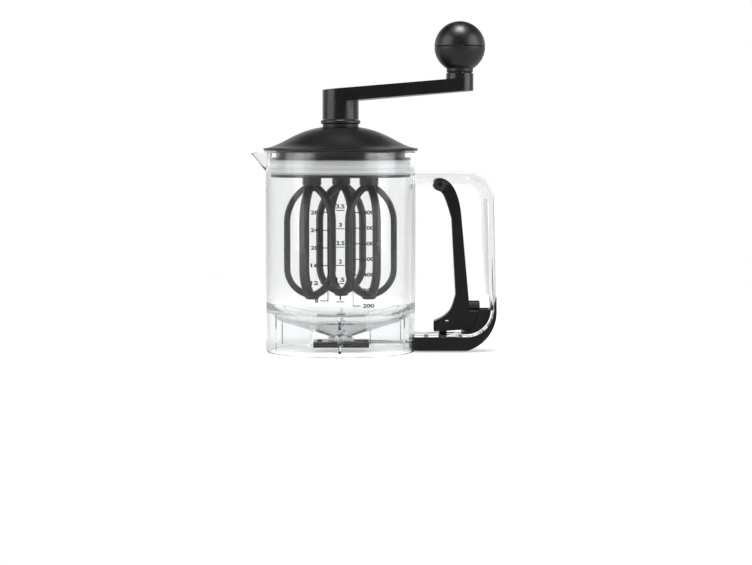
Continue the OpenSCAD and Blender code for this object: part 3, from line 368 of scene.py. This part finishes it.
def turned_normals(mesh, centre):
    """Smooth normals for a piece that is mostly turned about a vertical axis at centre."""
    faces = [(turned_profile(p, centre), p.normal.copy(), p.area) for p in mesh.polygons]
    around = [[] for _ in mesh.vertices]
    for face, p in zip(faces, mesh.polygons):
        for v in p.vertices:
            around[v].append(face)
    normals = []
    for (profile, own, _), p in zip(faces, mesh.polygons):
        for v in p.vertices:
            normals.append(corner_normal(mesh.vertices[v].co, profile, own, around[v], centre))
    mesh.polygons.foreach_set("use_smooth", [True] * len(mesh.polygons))
    mesh.normals_split_custom_set(normals)


def smooth(obj, centre=None):
    """Smooth shading with sharp edges. For a turned piece, centre is where its axis is."""
    if centre is not None:
        turned_normals(obj.data, centre)
        return
    obj.data.polygons.foreach_set("use_smooth", [True] * len(obj.data.polygons))
    obj.data.set_sharp_from_angle(angle=SHARP_ANGLE)
    flat = obj.modifiers.new("flat_faces_stay_flat", "WEIGHTED_NORMAL")
    flat.keep_sharp = True
    apply_modifiers(obj)


# ---------------------------------------------------------------- makers of pieces
WELD = 1e-6  # corners closer than this become one
DEGENERATE = 1e-7  # edges shorter than this go
BEVEL_ANGLE = math.radians(40)  # an edge that turns by more is rounded
KNOB_FOOT = 0.3 * MM  # what lies this near to the knob's lowest point comes down
KNOB_DROP = 0.22 * MM
BOWL_LET_IN = 0.1 * MM
BOWL_EDGE = 0.02 * MM  # how far inside the wall a corner of the bowl still belongs to its edge
SPRING_WIRE = 0.8 * MM
SPRING_TURNS = 6
STEPS_A_TURN = 32
WIRE_SIDES = 10


def middle_of(node):
    """The middle of a CAD node, seen from above."""
    low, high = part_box(node)
    return (low[0] + high[0]) / 2, (low[1] + high[1]) / 2


AXIS = (0.0, 0.0)
KNOB = middle_of("knob_axle")


def copy_of(node, material):
    """A copy of a CAD node's mesh, joined along its edges, in an object of its own."""
    mesh = frame["nodes"][node].data.copy()
    mesh.materials.clear()
    mesh.materials.append(material)
    bm = bmesh.new()
    bm.from_mesh(mesh)
    bmesh.ops.remove_doubles(bm, verts=bm.verts, dist=WELD)
    bmesh.ops.dissolve_degenerate(bm, edges=bm.edges, dist=DEGENERATE)
    bmesh.ops.recalc_face_normals(bm, faces=bm.faces)
    bm.to_mesh(mesh)
    bm.free()
    return link_object("dressed_" + node, mesh)


def dressed(node, material, bevel=0.0, centre=None, segments=2):
    """A copy of a CAD node with small rounded edges, which stands for the node."""
    obj = copy_of(node, material)
    if bevel:
        edges = obj.modifiers.new("edges", "BEVEL")
        edges.width = bevel
        edges.segments = segments
        edges.limit_method = "ANGLE"
        edges.angle_limit = BEVEL_ANGLE
        edges.use_clamp_overlap = True
        apply_modifiers(obj)
    smooth(obj, centre)
    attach(obj, frame["nodes"][node]["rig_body"])
    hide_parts(node)
    return obj


def lower_foot(knob):
    """Brings the knob's foot down, so that no light shows under it."""
    foot = min(v.co.z for v in knob.data.vertices)
    for v in knob.data.vertices:
        if v.co.z < foot + KNOB_FOOT:
            v.co.z -= KNOB_DROP


def moulded_jug():
    """The jug's wall and its bowl, which are one moulding, as one clear piece.

    The bowl's edge is let into the wall, so that the two meshes cross cleanly where the
    solids only touch."""
    inside = min(math.hypot(v.co.x, v.co.y) for v in frame["nodes"]["jug"].data.vertices)
    wall = copy_of("jug", CLEAR)
    bowl = copy_of("jug_bowl", CLEAR)
    for v in bowl.data.vertices:
        r = math.hypot(v.co.x, v.co.y)
        if r > inside - BOWL_EDGE:
            v.co.x *= 1 + BOWL_LET_IN / r
            v.co.y *= 1 + BOWL_LET_IN / r
    join = wall.modifiers.new("bowl", "BOOLEAN")
    join.operation = "UNION"
    join.solver = "EXACT"
    join.object = bowl
    apply_modifiers(wall)
    old = bowl.data
    bpy.data.objects.remove(bowl)
    bpy.data.meshes.remove(old)
    smooth(wall, AXIS)
    wall.name = "clear_jug"
    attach(wall, "jug_body")
    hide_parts("jug", "jug_bowl")
    return wall


def coil(name, low, high):
    """A coil of spring wire along X, which fills the box from low to high."""
    wire_r = SPRING_WIRE / 2
    coil_r = (high.z - low.z) / 2 - wire_r
    middle_z = (high.z + low.z) / 2
    steps = SPRING_TURNS * STEPS_A_TURN
    bm = bmesh.new()
    rings = []
    for i in range(steps + 1):
        turn = 2 * math.pi * i / STEPS_A_TURN
        x = low.x + wire_r + (high.x - low.x - 2 * wire_r) * (i / steps)
        ring = []
        for k in range(WIRE_SIDES):
            around = 2 * math.pi * k / WIRE_SIDES
            r = coil_r + wire_r * math.cos(around)
            point = (x + wire_r * math.sin(around), r * math.cos(turn), middle_z + r * math.sin(turn))
            ring.append(bm.verts.new(point))
        rings.append(ring)
    for a, b in zip(rings, rings[1:]):
        for k in range(WIRE_SIDES):
            after = (k + 1) % WIRE_SIDES
            bm.faces.new((a[k], a[after], b[after], b[k]))
    bm.faces.new(rings[0])
    bm.faces.new(rings[-1])
    bmesh.ops.recalc_face_normals(bm, faces=bm.faces)
    mesh = bpy.data.meshes.new(name)
    bm.to_mesh(mesh)
    bm.free()
    return mesh


def pressed_spring():
    """The trigger's return spring, a coil of wire that rides on the trigger."""
    low, high = (Vector(v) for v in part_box("return_spring"))
    spring = link_object("pressed_spring", coil("pressed_spring", low, high))
    spring.data.materials.append(STEEL)
    smooth(spring)
    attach(spring, "trigger")
    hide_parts("return_spring")
    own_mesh(spring)


def repaint(node, material):
    """Gives a CAD node that shows as it is its material."""
    obj = frame["nodes"][node]
    obj.data.materials.clear()
    obj.data.materials.append(material)


# ---------------------------------------------------------------- pieces
for node in ("lid_dome", "lid_plug", "lid_base", "crank_collar"):
    dressed(node, LID_BLACK, bevel=0.3 * MM, centre=AXIS)
dressed("crank_arm", CRANK_BLACK, bevel=0.6 * MM)
lower_foot(dressed("knob_lower", KNOB_BLACK, bevel=0.2 * MM, centre=KNOB))
dressed("knob_upper", KNOB_BLACK, bevel=0.2 * MM, centre=KNOB)
dressed("lid_gasket", SILICONE, bevel=0.3 * MM, centre=AXIS)
dressed("outlet_seal", SILICONE, centre=AXIS)
for node in ("foot_cover", "spring_housing", "slide_post", "valve_gate", "gate_tray"):
    dressed(node, TRIGGER_BLACK, bevel=0.3 * MM)
dressed("trigger", TRIGGER_BLACK, bevel=0.7 * MM, segments=3)
dressed("stop_bumper", RUBBER_BLACK, bevel=0.2 * MM)
for node in ("whisk_1", "whisk_2", "whisk_3"):
    dressed(node, WHISK_BLACK, bevel=0.4 * MM)
for node in ("foot_screws", "tray_screws", "lid_screws", "pull_rod", "crank_shaft",
             "knob_axle", "thrust_washer"):
    repaint(node, STEEL)
for node in ("pivot_pin", "link_pin"):
    repaint(node, TRIGGER_BLACK)
for node in ("sun_gear", "planet_gear_1", "planet_gear_2", "planet_gear_3"):
    repaint(node, NYLON)
pressed_spring()
# The clear pieces let the light pass, so they throw no shadow
for clear in (moulded_jug(), dressed("handle", CLEAR)):
    clear.visible_shadow = False

# ---------------------------------------------------------------- printed scale
PRINT_PROUD = 0.06 * MM
PRINT_R = PRINT_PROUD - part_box("jug")[0][1]  # the front of the jug's wall is at -Y
LINE = 0.62 * MM
THIN_LINE = 0.35 * MM
STRIP = 1.5 * MM  # widest strip of a bar, so that bars follow the wall's curve
FIGURE_HEIGHT = 2.9 * MM
FIGURE_BOLD = 0.035  # widens the strokes, in shares of the type's size
FIGURE_CURVE = 4  # steps in each curve of a figure


def on_wall(x, z):
    """The point of the jug's front at x and z."""
    return Vector((x, -math.sqrt(PRINT_R * PRINT_R - x * x), z))


def printed(name, faces):
    """Faces, each a convex loop of x, z points, laid on the wall as one piece."""
    bm = bmesh.new()
    for face in faces:
        bm.faces.new([bm.verts.new(on_wall(x, z)) for x, z in face])
    bm.normal_update()
    for face in bm.faces:
        if face.normal.y > 0:
            face.normal_flip()
    mesh = bpy.data.meshes.new(name)
    bm.to_mesh(mesh)
    bm.free()
    mesh.materials.append(INK)
    obj = link_object(name, mesh)
    obj.visible_shadow = False
    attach(obj, "jug_body")


def bar(x0, z0, x1, z1):
    """A rectangle, cut into strips that follow the wall's curve."""
    cuts = max(1, round(abs(x1 - x0) / STRIP))
    xs = [x0 + (x1 - x0) * i / cuts for i in range(cuts + 1)]
    return [[(a, z0), (b, z0), (b, z1), (a, z1)] for a, b in zip(xs, xs[1:])]


def tick(x0, x1, z):
    """A level line from x0 to x1."""
    return bar(x0, z - LINE / 2, x1, z + LINE / 2)


def upright(x, low, high, thickness):
    """The line at x that joins the ticks from low to high."""
    return bar(x - thickness / 2, low - LINE / 2, x + thickness / 2, high + LINE / 2)


def figure(text, width, height, x, z, align):
    """A number as faces: its size in metres, its foot at z, aligned at x."""
    data = bpy.data.curves.new("figure", "FONT")
    data.body = text
    data.resolution_u = FIGURE_CURVE
    data.fill_mode = "FRONT"
    data.offset = FIGURE_BOLD
    obj = link_object("figure", data)
    graph = bpy.context.evaluated_depsgraph_get()
    mesh = bpy.data.meshes.new_from_object(obj.evaluated_get(graph))
    xs = [v.co.x for v in mesh.vertices]
    ys = [v.co.y for v in mesh.vertices]
    low_x, low_y = min(xs), min(ys)
    wider, taller = width / (max(xs) - low_x), height / (max(ys) - low_y)
    left = x + {"left": 0.0, "centre": -width / 2, "right": -width}[align]
    points = [(left + (a - low_x) * wider, z + (b - low_y) * taller) for a, b in zip(xs, ys)]
    faces = [[points[i] for i in p.vertices] for p in mesh.polygons]
    bpy.data.objects.remove(obj)
    bpy.data.meshes.remove(mesh)
    bpy.data.curves.remove(data)
    return faces


def ounce_scale():
    """Left: fluid ounces, with ticks that point outwards from a line."""
    figures_x, ticks_x, line_x = -15.1 * MM, -13.8 * MM, -8.2 * MM
    low, step = 41.15 * MM, 12.59 * MM
    one_digit, two_digits = 2.6 * MM, 5.5 * MM
    numbers = (8, 12, 16, 20, 24, 28)
    faces = upright(line_x, low, low + (len(numbers) - 1) * step, LINE)
    for k, number in enumerate(numbers):
        z = low + k * step
        width = one_digit if number < 10 else two_digits
        faces += tick(ticks_x, line_x, z)
        faces += figure(str(number), width, FIGURE_HEIGHT, figures_x, z - FIGURE_HEIGHT / 2, "right")
    printed("ounce_scale", faces)


def cup_scale():
    """Middle: cups, each number on a short line."""
    left, right, figures_x = -2.24 * MM, 3.5 * MM, 0.68 * MM
    low, step, gap = 40.5 * MM, 13.03 * MM, 1.3 * MM
    height = 3.1 * MM
    one, digit, with_half = 1.1 * MM, 2.4 * MM, 6 * MM
    numbers = (("1", one), ("1.5", with_half), ("2", digit), ("2.5", with_half),
               ("3", digit), ("3.5", with_half))
    faces = []
    for k, (number, width) in enumerate(numbers):
        z = low + k * step
        faces += tick(left, right, z)
        faces += figure(number, width, height, figures_x, z + gap, "centre")
    printed("cup_scale", faces)


def millilitre_scale():
    """Right: millilitres, with ticks that point outwards from a thin line."""
    line_x, ticks_x, figures_x = 9.7 * MM, 15.1 * MM, 16.65 * MM
    low, step = 37.45 * MM, 11.11 * MM
    width = 8.1 * MM
    numbers = range(200, 801, 100)
    faces = upright(line_x, low, low + (len(numbers) - 1) * step, THIN_LINE)
    for k, number in enumerate(numbers):
        z = low + k * step
        faces += tick(line_x, ticks_x, z)
        faces += figure(str(number), width, FIGURE_HEIGHT, figures_x, z - FIGURE_HEIGHT / 2, "left")
    printed("millilitre_scale", faces)


ounce_scale()
cup_scale()
millilitre_scale()

# ---------------------------------------------------------------- floor
FLOOR_REACH = 12
FLOOR_GLOW = 0.42  # its own light where it is seen straight, near the object
FLOOR_FADE = (0.35, 0.85)  # distances at which it starts to turn, and is, plain white


def studio_floor():
    """A pale floor with the object's shadow, which turns plain white further out."""
    mesh = bpy.data.meshes.new("floor")
    bm = bmesh.new()
    bmesh.ops.create_grid(bm, x_segments=2, y_segments=2, size=FLOOR_REACH)
    bm.to_mesh(mesh)
    bm.free()
    floor = link_object("floor", mesh)
    n = Nodes("floor")
    n.tint(n.noise(3, detail=3), (0.80, 0.80, 0.80), (0.81, 0.81, 0.81))
    n.set(Roughness=0.9, Specular_IOR_Level=0.1)
    straight = n.seen_straight()
    distance = n.add("ShaderNodeVectorMath", operation="LENGTH")
    n.link(n.coords(), distance.inputs[0])
    far = n.math("MULTIPLY", straight, n.step(distance.outputs["Value"], *FLOOR_FADE))
    glow = n.add("ShaderNodeEmission")
    n.link(n.math("MULTIPLY", straight, FLOOR_GLOW), glow.inputs["Strength"])
    lit = n.add("ShaderNodeAddShader")
    n.link(n.bsdf.outputs[0], lit.inputs[0])
    n.link(glow.outputs[0], lit.inputs[1])
    white = n.add("ShaderNodeEmission")
    blend = n.add("ShaderNodeMixShader")
    n.link(far, blend.inputs["Fac"])
    n.link(lit.outputs[0], blend.inputs[1])
    n.link(white.outputs[0], blend.inputs[2])
    n.link(blend.outputs[0], n.out.inputs["Surface"])
    mesh.materials.append(n.material)


# ---------------------------------------------------------------- world and lamps
# A pair says where a light starts to show and where it is full. BOX_EDGES and TOP_EDGES are in
# degrees from its middle, the others are coordinates of a direction, whose length is 1.
SKY = 0.62  # plain light from all round, for matt surfaces
BOX_SIDE = 67  # degrees from the front at which the two soft boxes stand
BOX_EDGES = (32, 17)
BOX_FOOT = (-0.035, -0.01)
BOX_HEAD = (0.8, 0.55)
BOX_GLOSS = 4.0
BOX_LEAN = 0.15  # share by which the right box is brighter, and the left one dimmer
BACK_GLOSS = 0.9
BACK_DEPTH = (0.1, 0.6)
BACK_HEIGHT = (0.6, 0.2)
TOP_GLOSS = 36.0
TOP_LEAN = 6  # degrees by which the spot overhead leans to the front
TOP_EDGES = (15, 8)
FRONT_GLOSS = 0.03
CLEAR_FRONT_GLOSS = 0.45  # the same for a path that has gone through clear plastic


def cosines(degrees):
    """The cosines of angles in degrees."""
    return (math.cos(math.radians(a)) for a in degrees)


def studio_world():
    """White where it is seen straight. Gloss shows two tall soft boxes, one at each side
    of a dark front, a small spot overhead, and a white backdrop."""
    world = bpy.data.worlds.new("studio")
    bpy.context.scene.world = world
    world.use_nodes = True
    t = Tree(world.node_tree)
    split = t.add("ShaderNodeSeparateXYZ")
    t.link(t.add("ShaderNodeTexCoord").outputs["Generated"], split.inputs[0])
    x, y, z = split.outputs
    path = t.add("ShaderNodeLightPath").outputs

    level_length = t.math("SQRT", t.math("ADD", t.math("MULTIPLY", x, x), t.math("MULTIPLY", y, y)))
    side = math.radians(BOX_SIDE)
    across = t.math("MULTIPLY", t.math("ABSOLUTE", x), math.sin(side))
    along = t.math("MULTIPLY", y, math.cos(side))
    towards_box = t.math("DIVIDE", t.math("SUBTRACT", across, along), level_length)
    boxes = t.math("MULTIPLY", t.step(towards_box, *cosines(BOX_EDGES)), t.step(z, *BOX_FOOT))
    boxes = t.math("MULTIPLY", boxes, t.step(z, *BOX_HEAD))
    boxes = t.math("MULTIPLY", boxes, t.math("MULTIPLY_ADD", x, BOX_LEAN, 1.0))

    height = t.math("ABSOLUTE", z)
    backdrop = t.math("MULTIPLY", t.step(y, *BACK_DEPTH), t.step(height, *BACK_HEIGHT))

    lean = math.radians(TOP_LEAN)
    forward = t.math("MULTIPLY", y, -math.sin(lean))
    overhead = t.math("MULTIPLY_ADD", z, math.cos(lean), forward)
    spot = t.step(overhead, *cosines(TOP_EDGES))

    through_clear = t.math("MINIMUM", path["Transmission Depth"], 1.0)
    front = t.mix(through_clear, FRONT_GLOSS, CLEAR_FRONT_GLOSS)
    gloss = t.math("MULTIPLY_ADD", boxes, BOX_GLOSS, front)
    gloss = t.math("MULTIPLY_ADD", backdrop, BACK_GLOSS, gloss)
    gloss = t.math("MULTIPLY_ADD", spot, TOP_GLOSS, gloss)

    mirrored = t.math("GREATER_THAN", path["Glossy Depth"], NONE_OR_SOME)
    not_matt = t.math("LESS_THAN", path["Diffuse Depth"], NONE_OR_SOME)
    reflected = t.mix(t.math("MULTIPLY", mirrored, not_matt), SKY, gloss)
    background = t.tree.nodes["Background"]
    background.inputs["Color"].default_value = (1, 1, 1, 1)
    t.link(t.mix(t.seen_straight(), reflected, 1.0), background.inputs["Strength"])


def softbox(name, place, target, size, watts):
    """A lamp for matt surfaces. What gloss shows of the studio is in the world."""
    data = bpy.data.lights.new(name, "AREA")
    data.shape = "RECTANGLE"
    data.size, data.size_y = size
    data.energy = watts
    lamp = link_object(name, data)
    lamp.location = place
    lamp.rotation_euler = (Vector(target) - Vector(place)).to_track_quat("-Z", "Y").to_euler()
    lamp.visible_glossy = False


studio_floor()
studio_world()
softbox("left_box", (-1.3, -0.55, 0.45), target=(0, 0, 0.15), size=(0.5, 1.1), watts=5)
softbox("right_box", (1.35, -0.5, 0.45), target=(0, 0, 0.15), size=(0.5, 1.1), watts=6)
softbox("top_box", (0.1, -0.45, 1.5), target=(0, 0, 0.1), size=(0.5, 0.4), watts=7)
